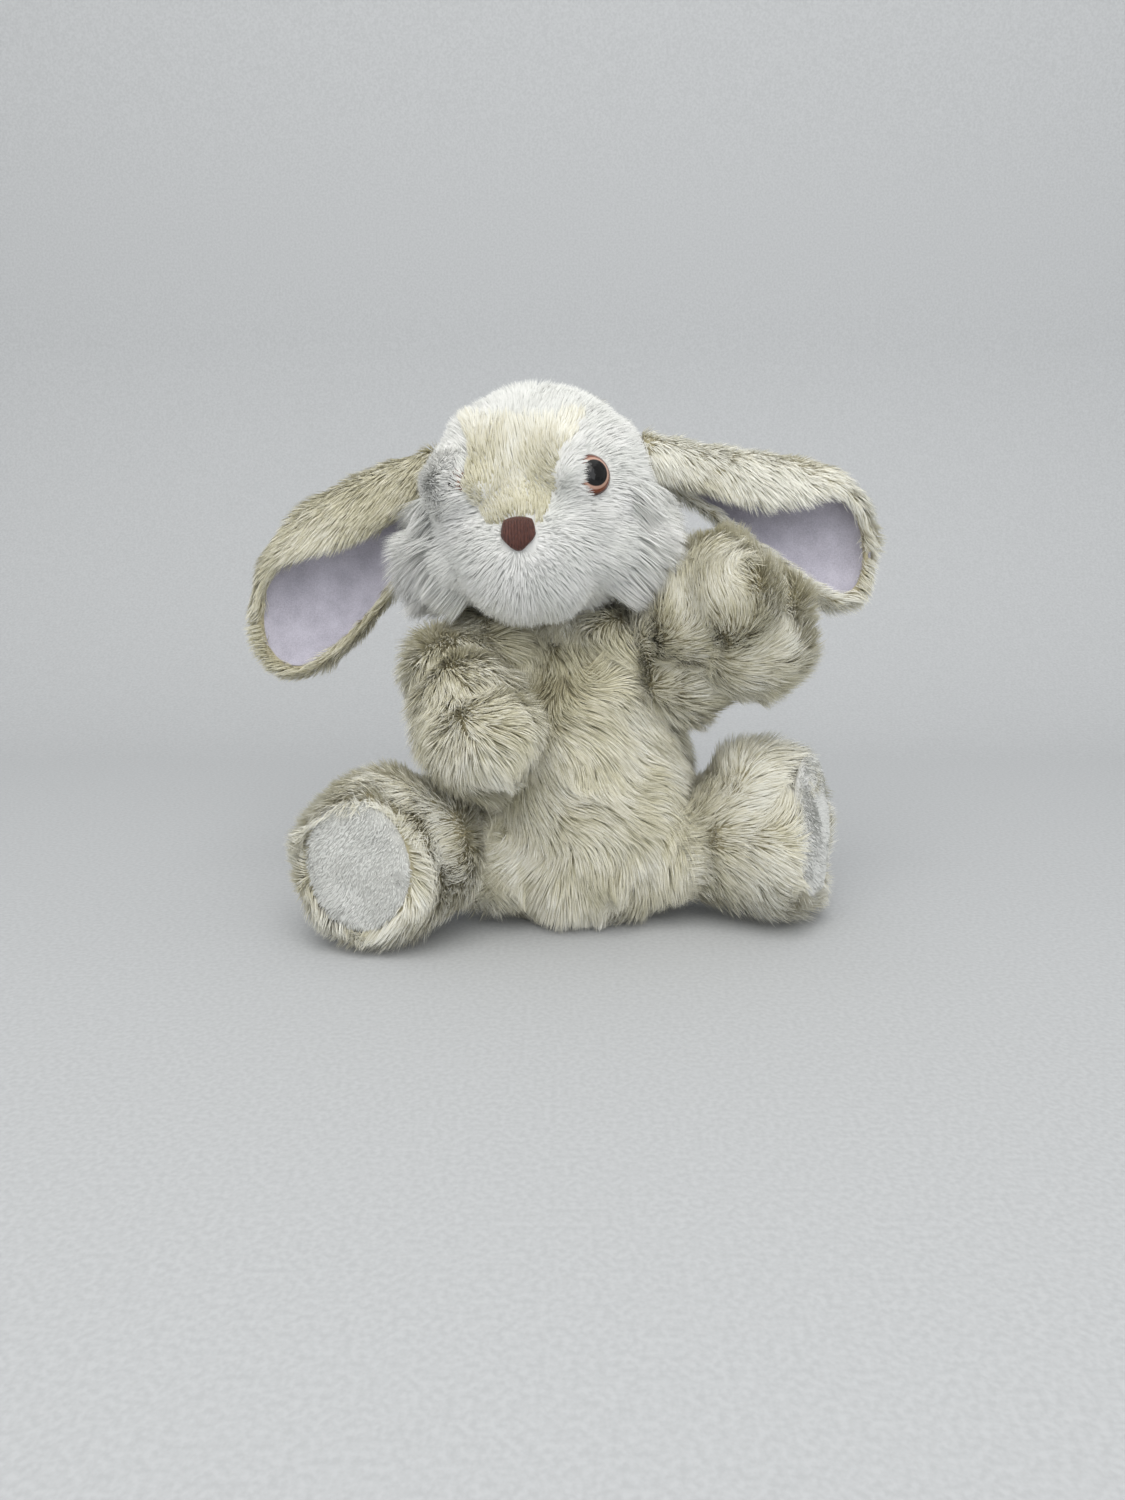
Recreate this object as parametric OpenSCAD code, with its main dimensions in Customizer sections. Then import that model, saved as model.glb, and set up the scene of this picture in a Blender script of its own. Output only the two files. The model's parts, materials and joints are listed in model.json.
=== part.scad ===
// A seated stuffed bunny, in millimetres. The origin is the middle of the flat seat, +Z is up,
// and the bunny looks along -Y with its head turned a little to -X, so its own left side is +X.
// Every cover is a shell of plush with its stuffing inside as a solid of its own, and each limb,
// ear and the neck is a closed shape that meets its neighbour at one seam, about which it flops.

/* [Torso] */
// Length of the torso from the neck seam to the rounded end that the seat cuts off
torso_len = 114; // [112:1:118]
// Girth radius of the torso, before the pear shape widens the seat
torso_r = 40.5; // [39:0.5:41.5]
// Lean of the torso towards the bunny's right side, in degrees
torso_lean = 5; // [4:0.5:6]
// How deep the seat cuts the rounded lower end
seat_cut = 6; // [5:0.5:8]
// Thickness of the plush covers, backing and flattened pile together
plush = 2.4; // [2:0.1:2.8]

/* [Head] */
// Length of the skull from the back to the face
head_len = 84; // [82:1:86]
// Radius of the skull
head_r = 40.5; // [39.5:0.5:42]
// Radius of the stuffed muzzle
muzzle_r = 25; // [24:0.5:26]
// Diameter of the safety eyes
eye_d = 14; // [12:1:15]
// Width of the embroidered nose
nose_w = 12.5; // [11:0.5:14]

/* [Limbs and ears] */
// Radius of the arms at the middle
arm_r = 15.5; // [14:0.5:15.5]
// Radius of the ball that roots each leg
hip_r = 18; // [17:0.5:18.5]
// Radius of the feet
foot_r = 27; // [25:0.5:28]
// Radius of the flat sole pads
sole_r = 21.5; // [18:0.5:22]
// Length of the ears from seam to tip
ear_len = 92; // [86:1:94]
// Half of an ear's greatest width, laid flat
ear_w = 26; // [23:0.5:27]
// Radius of the pompom tail
tail_r = 14; // [12:0.5:16]

/* [Hidden] */

$fn = 48;
gap = 0.1;        // between solids that lie against each other
seam_gap = 0.4;   // between solids that turn against each other
far = 200;        // size of the blocks that cut panels apart
egg_steps = 18;   // stretches in an egg's outline

// Where things are: seam points and middles of limbs.
head_c = [-8, 0, 155];
head_turn = [0, -4, -8];
neck_c = [-4, 2, 110];
neck_r = 15;
torso_x = 10;             // the seat lies this far to the left, under the leaning torso
side_seam_y = 8;          // the belly panel lies in front of this, the back panels behind it
left_hip = [46, -12.5, 26];
right_hip = [-30, -20, 26];
left_foot = [82, -17, 30];
right_foot = [-67, -44, 30];
left_sole_dir = [0.9, -0.42, 0.1];
right_sole_dir = [-0.34, -0.93, 0.04];
left_shoulder = [33, -6, 99];
right_shoulder = [-44, -9, 97];
left_elbow = [70, -19, 105];
left_paw = [60, -31, 126];
right_paw = [-25, -57, 69];
left_ear_dir = [0.875, 0.03, -0.48];
right_ear_dir = [-0.69, 0.03, -0.72];
left_ear_face = [-0.1, -0.8, -0.55];
right_ear_face = [0.25, -0.85, -0.45];

// Shapes inside the limbs.
arm_len = 70;
arm_back = 9;             // how far an arm's thin end reaches behind its seam point
arm_taper = -0.2;
shoulder_r = 10;
elbow_r = 16.5;
paw_r = 13;
shoulder_socket = 13;
leg_root_r = 14.5;        // where the leg leaves its ball
leg_end_r = 19.5;           // where it meets the foot
foot_half = 14;           // half of the foot's thickness along the sole's direction
sole_t = 2;
pouch_r = 24;
pouch_c = [6, 4, 30];
tail_c = [8, 51.5, 22];
tail_seam = 8.9;          // the pompom is open this far in front of its middle
gusset_half = 27;         // half angle of the forehead gusset about the face axis
chin_from = 122;          // angle from straight up at which the chin panel starts
back_seam_y = 9;          // head panels meet the back-of-head panel here
ruff_t = 5.5;
eye_turn = 32;            // eyes lie this far round from the nose, in degrees
eye_lift = 11;
eye_out = 44.4;           // the eyes sit this far out from the middle of the head
eye_post_r = 1.9;
washer_r = 6;
ear_t = 3;
lining_t = 0.9;
ear_cup_r = 31;
ear_root = 7;             // the sewn end of the ear lies this far out from its seam point

function unit(v) = v / norm(v);

// Matrix that carries +Z to dir and moves the origin to at.
function facing(at, dir) =
    let (z = unit(dir), side = abs(z[2]) > 0.9 ? [1, 0, 0] : [0, 0, 1],
         x = unit(cross(side, z)), y = cross(z, x))
    [[x[0], y[0], z[0], at[0]], [x[1], y[1], z[1], at[1]], [x[2], y[2], z[2], at[2]], [0, 0, 0, 1]];

// Matrix that carries +X to dir and turns +Z as near to face as it can.
function laid(at, dir, face) =
    let (x = unit(dir), z = unit(face - (face * x) * x), y = cross(z, x))
    [[x[0], y[0], z[0], at[0]], [x[1], y[1], z[1], at[1]], [x[2], y[2], z[2], at[2]], [0, 0, 0, 1]];

// Outline of an egg that stands on the origin. taper above 0 makes its lower end the fat one.
function egg_outline(len, r, taper, full) =
    [for (i = [0 : egg_steps]) let (t = 180 * i / egg_steps)
        [i % egg_steps == 0 ? 0 : r * pow(sin(t), full) * (1 + taper * cos(t)), len / 2 * (1 - cos(t))]];

module egg(len, r, taper = 0, full = 0.75) {
    rotate_extrude() polygon(egg_outline(len, r, taper, full));
}

// ---- Torso -------------------------------------------------------------------------------

// The pear shape, smaller by inset all round, cut off flat at the seat.
module torso_solid(inset = 0) {
    intersection() {
        translate([torso_x, 0, 0]) rotate([0, -torso_lean, 0])
            translate([0, 0, inset - seat_cut])
                egg(torso_len - 2 * inset, torso_r - inset, 0.12, 0.68);
        translate([-far / 2, -far / 2, inset]) cube(far);
    }
}

// Hollows that the neck, arms and legs are seated in.
module torso_sockets() {
    translate(neck_c) sphere(neck_r + seam_gap);
    for (p = [left_shoulder, right_shoulder]) translate(p) sphere(shoulder_socket);
    for (p = [left_hip, right_hip]) translate(p) sphere(hip_r + seam_gap);
}

module torso_shell() {
    difference() {
        torso_solid();
        torso_solid(plush);
        torso_sockets();
    }
}

module belly_panel() {
    color("tan") intersection() {
        torso_shell();
        translate([-far / 2, side_seam_y - far, -far / 2]) cube(far);
    }
}

module back_panel(side) {
    color("tan") intersection() {
        torso_shell();
        translate([torso_x + (side > 0 ? gap / 2 : -far - gap / 2), side_seam_y + gap, -far / 2]) cube(far);
    }
}

module pellet_pouch() {
    color("white") translate(pouch_c) sphere(pouch_r);
}

module torso_stuffing() {
    color("white") difference() {
        torso_solid(plush + gap);
        torso_sockets();
        translate(pouch_c) sphere(pouch_r + gap);
    }
}

// Points on an arc about the pompom's middle, from the seam up to the far pole.
function tail_arc(r) =
    let (from = -asin(tail_seam / r))
    [for (i = [0 : 10]) let (t = from + (90 - from) * i / 10) [i == 10 ? 0 : r * cos(t), r * sin(t)]];

// The pompom is open where it is sewn to the back.
module tail_cover() {
    outer = tail_arc(tail_r);
    inner = tail_arc(tail_r - plush);
    color("ivory") translate(tail_c) rotate([-90, 0, 0]) rotate_extrude()
        polygon(concat(outer, [for (i = [10 : -1 : 0]) inner[i]]));
}

module tail_stuffing() {
    color("white") translate(tail_c) rotate([-90, 0, 0]) rotate_extrude()
        polygon(concat([[0, -tail_seam]], tail_arc(tail_r - plush - gap)));
}

module neck_stuffing() {
    color("white") translate(neck_c) sphere(neck_r);
}

// ---- Head --------------------------------------------------------------------------------

module in_head() {
    translate(head_c) rotate(head_turn) children();
}

// The skull, smaller by inset all round: an egg about the face axis, which is -Y.
module skull(inset = 0) {
    translate([0, head_len / 2 - 2 - inset, 0]) rotate([90, 0, 0])
        egg(head_len - 2 * inset, head_r - inset, 0.04, 0.72);
}

module muzzle_ball(inset = 0) {
    translate([0, -27, -13]) sphere(muzzle_r - inset);
}

// A slice of the head between two angles about the face axis, counted from straight up towards
// the bunny's left, and between two places along Y.
module slice(from, to, y0, y1) {
    mid = (from + to) / 2;
    reach = 90;
    translate([0, y1, 0]) rotate([90, 0, 0]) linear_extrude(y1 - y0)
        polygon([[0, 0], for (a = [from, mid, to]) reach * [sin(a), cos(a)]]);
}

module eye_place(side) {
    rotate([0, 0, side * eye_turn]) rotate([90 - eye_lift, 0, 0])
        translate([0, 0, eye_out]) children();
}

module skull_shell() {
    difference() {
        skull();
        skull(plush);
        neck_hollow();
        for (s = [-1, 1]) eye_place(s) cylinder(r = eye_post_r + gap, h = 30, center = true);
    }
}

// The neck's seat, written in the head's own frame.
module neck_hollow() {
    rotate([0, -head_turn[1], 0]) rotate([0, 0, -head_turn[2]])
        translate(neck_c - head_c) sphere(neck_r + seam_gap);
}

module head_panel(from, to) {
    color("white") in_head() intersection() {
        skull_shell();
        slice(from + 0.1, to - 0.1, -80, back_seam_y);
    }
}

module forehead_gusset() {
    color("wheat") in_head() intersection() {
        skull_shell();
        slice(-gusset_half, gusset_half, -80, back_seam_y);
    }
}

module head_back_panel() {
    color("wheat") in_head() intersection() {
        skull_shell();
        translate([-far / 2, back_seam_y + gap, -far / 2]) cube(far);
    }
}

module muzzle_cover() {
    color("white") in_head() difference() {
        muzzle_ball();
        muzzle_ball(plush);
        skull(-gap);
    }
}

module muzzle_stuffing() {
    color("white") in_head() difference() {
        muzzle_ball(plush + gap);
        skull(-gap);
    }
}

module head_stuffing() {
    color("white") in_head() difference() {
        skull(plush + gap);
        neck_hollow();
        for (s = [-1, 1]) eye_place(s) {
            cylinder(r = eye_post_r + gap, h = 40, center = true);
            translate([0, 0, -plush - 2]) cylinder(r = washer_r + gap, h = 3, center = true);
        }
    }
}

// A crescent of long pile sewn over the side seam of the face.
module cheek_ruff(side) {
    color("snow") in_head() intersection() {
        difference() {
            skull(-ruff_t);
            skull(-gap);
        }
        slice(side > 0 ? 84 : -140, side > 0 ? 140 : -84, -25, -1);
    }
}

module nose_embroidery() {
    color("saddlebrown") in_head() intersection() {
        difference() {
            muzzle_ball(-1.6);
            muzzle_ball(-gap);
        }
        translate([0, -30, -9]) rotate([90, 0, 0]) linear_extrude(40)
            polygon([for (a = [0 : 15 : 345])
                [nose_w / 2 * cos(a) * (1 + 0.12 * sin(a)), nose_w * 0.54 * sin(a)]]);
    }
}

// One thread that draws the muzzle in below the nose.
module mouth_stitch() {
    color("lightgray") in_head() translate([0, -27, -13]) rotate([0, -90, 0])
        rotate([0, 0, 188]) rotate_extrude(angle = 20)
            translate([muzzle_r + 0.6, 0]) circle(r = 0.45, $fn = 24);
}

// A domed plastic eye on its post. The dome is a cap of a sphere above a short straight rim.
module eye(side) {
    r = eye_d / 2;
    rise = 4.2;
    ball = (r * r + rise * rise) / (2 * rise);
    color("black") in_head() eye_place(side) {
        rotate_extrude() polygon([
            [0, 1], [r, 1], [r, 1.8],
            for (a = [10 : 10 : 90]) let (b = asin(r / ball) * (1 - a / 90))
                [a == 90 ? 0 : ball * sin(b), 1.8 + rise - ball + ball * cos(b)]]);
        translate([0, 0, -12]) cylinder(r = eye_post_r, h = 14);
    }
}

module eye_washer(side) {
    color("gainsboro") in_head() eye_place(side) translate([0, 0, -plush - 2])
        difference() {
            cylinder(r = washer_r, h = 1.6, center = true);
            cylinder(r = eye_post_r + 0.02, h = 3, center = true);
        }
}

// ---- Ears --------------------------------------------------------------------------------

function ear_seam(side) = [side * 39, 6, 20];

// Half-width of an ear, a share of the way from seam to tip.
function ear_half(s) = ear_w * pow(sin(180 * pow(s, 1.45)), 0.62) + 3.2 * (1 - s);

module ear_outline(grow = 0) {
    steps = 16;
    edge = [for (i = [0 : steps]) let (s = i / steps)
        [ear_root + (ear_len - ear_root) * s, max(0.2, ear_half(s) + grow)]];
    polygon(concat(edge, [for (i = [steps : -1 : 0]) [edge[i][0], -edge[i][1]]]));
}

// A layer of an ear: the outline wrapped on a tube that runs from seam to tip.
module ear_layer(side, from, to, grow) {
    at = side > 0 ? left_ear_seam() : right_ear_seam();
    multmatrix(laid(at, side > 0 ? left_ear_dir : right_ear_dir, side > 0 ? left_ear_face : right_ear_face))
        intersection() {
            linear_extrude(60, center = true) ear_outline(grow);
            translate([0, 0, ear_cup_r]) rotate([0, 90, 0]) difference() {
                cylinder(r = ear_cup_r - from, h = ear_len + 10);
                translate([0, 0, -1]) cylinder(r = ear_cup_r - to, h = ear_len + 12);
            }
            translate([0, -30, -6]) cube([ear_len + 5, 60, ear_cup_r]);
        }
}

// The ears' seam points in the row frame, carried there by the head's turn.
function turned(p) =
    let (b = head_turn[1], c = head_turn[2],
         q = [p[0] * cos(b) + p[2] * sin(b), p[1], -p[0] * sin(b) + p[2] * cos(b)])
    head_c + [q[0] * cos(c) - q[1] * sin(c), q[0] * sin(c) + q[1] * cos(c), q[2]];
function left_ear_seam() = turned(ear_seam(1));
function right_ear_seam() = turned(ear_seam(-1));

module ear_back(side) {
    color("wheat") ear_layer(side, 0, ear_t, 0);
}

module ear_lining(side) {
    color("lavender") ear_layer(side, ear_t + gap, ear_t + gap + lining_t, -2.5);
}

// ---- Arms --------------------------------------------------------------------------------

module right_arm_solid(inset = 0) {
    multmatrix(facing(right_shoulder, right_paw - right_shoulder)) translate([0, 0, inset - arm_back])
        egg(arm_len - 2 * inset, arm_r - inset, arm_taper, 0.62);
}

// A ball at the shoulder, elbow and paw, with a tapered length between each two.
module left_arm_solid(inset = 0) {
    limb(left_shoulder, left_elbow, shoulder_r - inset, elbow_r - inset);
    limb(left_elbow, left_paw, elbow_r - inset, paw_r - inset);
}

module limb(from, to, r1, r2) {
    translate(from) sphere(r1);
    translate(to) sphere(r2);
    multmatrix(facing(from, to - from)) cylinder(r1 = r1 - 0.5, r2 = r2 - 0.5, h = norm(to - from));
}

module arm_cover(side) {
    color("tan") difference() {
        if (side > 0) left_arm_solid(); else right_arm_solid();
        if (side > 0) left_arm_solid(plush); else right_arm_solid(plush);
    }
}

module arm_stuffing(side) {
    color("white") if (side > 0) left_arm_solid(plush + gap); else right_arm_solid(plush + gap);
}

// ---- Legs --------------------------------------------------------------------------------

// Points on the outline of the root ball and the leg, from the ball's far pole to the foot.
function leg_outline(len, inset) = concat(
    [for (a = [-90 : 15 : 30]) (hip_r - inset) * [a == -90 ? 0 : cos(a), sin(a)]],
    [[leg_root_r - inset, hip_r - 2], [leg_end_r - inset, len], [0, len]]);

// A root ball and a stout leg turned as one, and a foot turned about the way its sole faces. The
// foot is flat where the sole pad is sewn in.
module leg_solid(hip, foot, dir, inset = 0) {
    front = foot_half - sole_t - inset;
    r = foot_r - inset;
    multmatrix(facing(hip, foot - hip)) rotate_extrude() polygon(leg_outline(norm(foot - hip), inset));
    multmatrix(facing(foot, dir)) rotate_extrude()
        polygon([[0, front], [r * 0.86, front], [r * 0.95, front - 4], [r, front - 11], [r * 0.97, front - 18],
                 [r * 0.86, inset - 13], [r * 0.66, inset - 18], [r * 0.36, inset - 21], [0, inset - 22]]);
}

function hip_of(side) = side > 0 ? left_hip : right_hip;
function foot_of(side) = side > 0 ? left_foot : right_foot;
function sole_dir(side) = side > 0 ? left_sole_dir : right_sole_dir;

module leg_cover(side) {
    color("tan") difference() {
        leg_solid(hip_of(side), foot_of(side), sole_dir(side));
        leg_solid(hip_of(side), foot_of(side), sole_dir(side), plush);
    }
}

module leg_stuffing(side) {
    color("white") leg_solid(hip_of(side), foot_of(side), sole_dir(side), plush + gap);
}

module sole_pad(side) {
    color("white") multmatrix(facing(foot_of(side) + [0, 0, 1], sole_dir(side)))
        translate([0, 0, foot_half - sole_t + gap]) rotate_extrude()
            polygon([[0, 0], [sole_r, 0], [sole_r, sole_t * 0.6], [sole_r * 0.93, sole_t],
                     [sole_r * 0.5, sole_t + 0.8], [0, sole_t + 1]]);
}

belly_panel();
back_panel(1);  // left_back_panel
back_panel(-1);  // right_back_panel
torso_stuffing();
pellet_pouch();
tail_cover();
tail_stuffing();
neck_stuffing();
forehead_gusset();
head_panel(gusset_half, chin_from);  // left_face_panel
head_panel(-chin_from, -gusset_half);  // right_face_panel
head_panel(chin_from, 360 - chin_from);  // chin_panel
head_back_panel();
muzzle_cover();
muzzle_stuffing();
head_stuffing();
cheek_ruff(1);  // left_cheek_ruff
cheek_ruff(-1);  // right_cheek_ruff
nose_embroidery();
mouth_stitch();
eye(1);  // left_eye
eye(-1);  // right_eye
eye_washer(1);  // left_eye_washer
eye_washer(-1);  // right_eye_washer
ear_back(1);  // left_ear_back
ear_lining(1);  // left_ear_lining
ear_back(-1);  // right_ear_back
ear_lining(-1);  // right_ear_lining
arm_cover(1);  // left_arm_cover
arm_stuffing(1);  // left_arm_stuffing
arm_cover(-1);  // right_arm_cover
arm_stuffing(-1);  // right_arm_stuffing
leg_cover(1);  // left_leg_cover
sole_pad(1);  // left_sole_pad
leg_stuffing(1);  // left_leg_stuffing
leg_cover(-1);  // right_leg_cover
sole_pad(-1);  // right_sole_pad
leg_stuffing(-1);  // right_leg_stuffing
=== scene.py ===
import json
import math
import bmesh
import bpy
import numpy as np
from mathutils import Matrix, Vector, kdtree


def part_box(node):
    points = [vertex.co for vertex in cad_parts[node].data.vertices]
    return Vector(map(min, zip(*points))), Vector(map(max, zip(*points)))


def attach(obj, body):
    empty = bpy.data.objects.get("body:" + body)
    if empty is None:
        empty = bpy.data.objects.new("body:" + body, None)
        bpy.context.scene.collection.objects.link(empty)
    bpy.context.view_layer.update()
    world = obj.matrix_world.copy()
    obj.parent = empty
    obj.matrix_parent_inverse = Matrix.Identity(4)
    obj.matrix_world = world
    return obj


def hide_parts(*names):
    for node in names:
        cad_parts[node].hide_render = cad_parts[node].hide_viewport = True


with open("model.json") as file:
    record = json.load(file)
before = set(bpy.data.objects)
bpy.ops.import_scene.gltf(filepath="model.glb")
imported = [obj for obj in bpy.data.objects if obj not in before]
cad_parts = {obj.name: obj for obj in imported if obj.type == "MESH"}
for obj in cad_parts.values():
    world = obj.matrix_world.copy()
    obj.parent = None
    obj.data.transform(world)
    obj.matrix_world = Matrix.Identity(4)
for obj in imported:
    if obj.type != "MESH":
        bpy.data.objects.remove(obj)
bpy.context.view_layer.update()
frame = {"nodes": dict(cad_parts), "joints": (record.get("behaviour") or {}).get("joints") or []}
mm = 0.001
scene = bpy.context.scene
print("frame loaded")


def middle(node):
    low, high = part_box(node)
    return (Vector(low) + Vector(high)) / 2


def jointPlace(name):
    return next(Vector(j["pos_m"]) for j in frame["joints"] if j["name"] == name)


neck = jointPlace("head_turn")
shoulders = {"left": jointPlace("left_arm_swing"), "right": jointPlace("right_arm_swing")}
hips = {"left": jointPlace("left_leg_swing"), "right": jointPlace("right_leg_swing")}
earSeams = {"left": jointPlace("left_ear_flop"), "right": jointPlace("right_ear_flop")}
soles = {side: middle(side + "_sole_pad") for side in ("left", "right")}
paws = {"left": neck + Vector((64, -33, 16)) * mm, "right": neck + Vector((-21, -59, -41)) * mm}
elbow = neck + Vector((74, -21, -5)) * mm
headMiddle = neck + Vector((-4, -2, 45)) * mm
headTurn = Matrix.Rotation(math.radians(-8), 3, "Z") @ Matrix.Rotation(math.radians(-4), 3, "Y")
soleFaces = {"left": Vector((0.9, -0.42, 0.1)).normalized(), "right": Vector((-0.34, -0.93, 0.04)).normalized()}


# ---- camera, light and floor ----

cameraPlan = {"distance": 455, "height": 62, "tilt": 12, "focal": 1168, "longSide": 1500}


def setUpStage():
    tilt = math.radians(cameraPlan["tilt"])
    reach = cameraPlan["distance"] * mm
    aim = Vector((0, 0, cameraPlan["height"] * mm))
    data = bpy.data.cameras.new("camera")
    data.sensor_fit = "VERTICAL"
    data.sensor_height = 36
    data.lens = 36 * cameraPlan["focal"] / cameraPlan["longSide"]
    data.clip_start = 0.01
    camera = bpy.data.objects.new("camera", data)
    camera.location = aim + Vector((0, -math.cos(tilt), math.sin(tilt))) * reach
    camera.rotation_euler = (math.pi / 2 - tilt, 0, 0)
    scene.collection.objects.link(camera)
    scene.camera = camera

    world = bpy.data.worlds.new("room")
    world.use_nodes = True
    world.node_tree.nodes["Background"].inputs["Color"].default_value = hexColour("ECEDEC")
    world.node_tree.nodes["Background"].inputs["Strength"].default_value = 0.68
    scene.world = world
    for name, place, size, power, tint in (
            ("keyLight", (-0.1, -0.8, 1.15), 1.1, 9.8, "FFFDF9"),
            ("frontLight", (0.35, -1.25, 0.55), 1.2, 5.8, "F8FAFF"),
            ("topLight", (0.15, 0.0, 1.25), 1.2, 2.2, "FFFFFF")):
        light = bpy.data.lights.new(name, "AREA")
        light.size = size
        light.energy = power
        light.color = hexColour(tint)[:3]
        lamp = bpy.data.objects.new(name, light)
        lamp.location = place
        lamp.rotation_euler = (Vector((0, 0, 0.08)) - Vector(place)).to_track_quat("-Z", "Y").to_euler()
        scene.collection.objects.link(lamp)

    # a felt-covered table that curves up into a plain wall
    bm = bmesh.new()
    edge = [bm.verts.new((-2.5, y, z)) for y, z in (
        [(-1.6, 0), (0.26, 0)] + [(0.26 + 0.3 * math.sin(a), 0.3 - 0.3 * math.cos(a))
                                  for a in np.linspace(0.1, math.pi / 2 - 0.05, 16)] + [(0.57, 2.4)])]
    for a, b in zip(edge, edge[1:]):
        bm.edges.new((a, b))
    moved = bmesh.ops.extrude_edge_only(bm, edges=bm.edges[:])["geom"]
    bmesh.ops.translate(bm, verts=[v for v in moved if isinstance(v, bmesh.types.BMVert)], vec=(5, 0, 0))
    bmesh.ops.recalc_face_normals(bm, faces=bm.faces[:])
    floor = newObject("floor", bm, [materials["feltFloor"]], smooth=True)


# ---- materials ----

materials = {}


def hexColour(code):
    parts = [int(code[i:i + 2], 16) / 255 for i in (0, 2, 4)]
    return [p / 12.92 if p <= 0.04045 else ((p + 0.055) / 1.055) ** 2.4 for p in parts] + [1.0]


def addNode(tree, kind, links=None, **settings):
    made = tree.nodes.new(kind)
    for key, value in settings.items():
        if key[0].isupper():
            made.inputs[key.replace("_", " ")].default_value = value
        else:
            setattr(made, key, value)
    for socket, source in (links or {}).items():
        tree.links.new(source, made.inputs[socket])
    return made


def startMaterial(name, colour, **surface):
    material = bpy.data.materials.new(name)
    material.use_nodes = True
    tree = material.node_tree
    shader = tree.nodes["Principled BSDF"]
    shader.inputs["Base Color"].default_value = hexColour(colour)
    for key, value in surface.items():
        shader.inputs[key.replace("_", " ")].default_value = value
    materials[name] = material
    return tree, shader


def patternPlace(tree):
    return addNode(tree, "ShaderNodeTexCoord").outputs["Object"]


# Acrylic pile, one material for each tone of a strand: dull, soft at grazing angles.
pileTones = {
    "beigePile": ["A8A183", "C5C0A4", "DAD6BF", "E7E4D4", "F2F1E7"],
    "creamPile": ["CFCDBF", "D8D7CA", "E1E0D6", "E8E7DE", "EDECE6"],
    "whitePile": ["D8D9D5", "E1E2DE", "E8E9E5", "EDEDEA", "F1F1EF"],
}


def makePile():
    for pile, tones in pileTones.items():
        for i, tone in enumerate(tones):
            tree, shader = startMaterial(pile + str(i), tone, Roughness=0.72, Specular_IOR_Level=0.22,
                                         Sheen_Weight=0.25, Sheen_Roughness=0.5)
            # each fibre catches the light unevenly along its length
            streaks = addNode(tree, "ShaderNodeTexNoise", {"Vector": patternPlace(tree)},
                              Scale=1 / (0.9 * mm), Detail=2.0)
            tree.links.new(addNode(tree, "ShaderNodeMapRange", {"Value": streaks.outputs["Fac"]},
                                   To_Min=0.55, To_Max=0.88).outputs["Result"], shader.inputs["Roughness"])


def makeBacking():
    """knit"""
    for name, colour in (("beigeBacking", "BDB598"), ("whiteBacking", "E2E2DF")):
        # warp-knit backing under the pile, a plain matte cloth with fine ribs
        tree, shader = startMaterial(name, colour, Roughness=0.95, Specular_IOR_Level=0.15)
        knit = addNode(tree, "ShaderNodeTexWave", {"Vector": patternPlace(tree)},
                       Scale=1 / (1.4 * mm) / 6.28, Distortion=2.0, Detail=2.0)
        bump = addNode(tree, "ShaderNodeBump", {"Height": knit.outputs["Fac"]}, Strength=0.5, Distance=0.2 * mm)
        tree.links.new(bump.outputs["Normal"], shader.inputs["Normal"])


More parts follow.
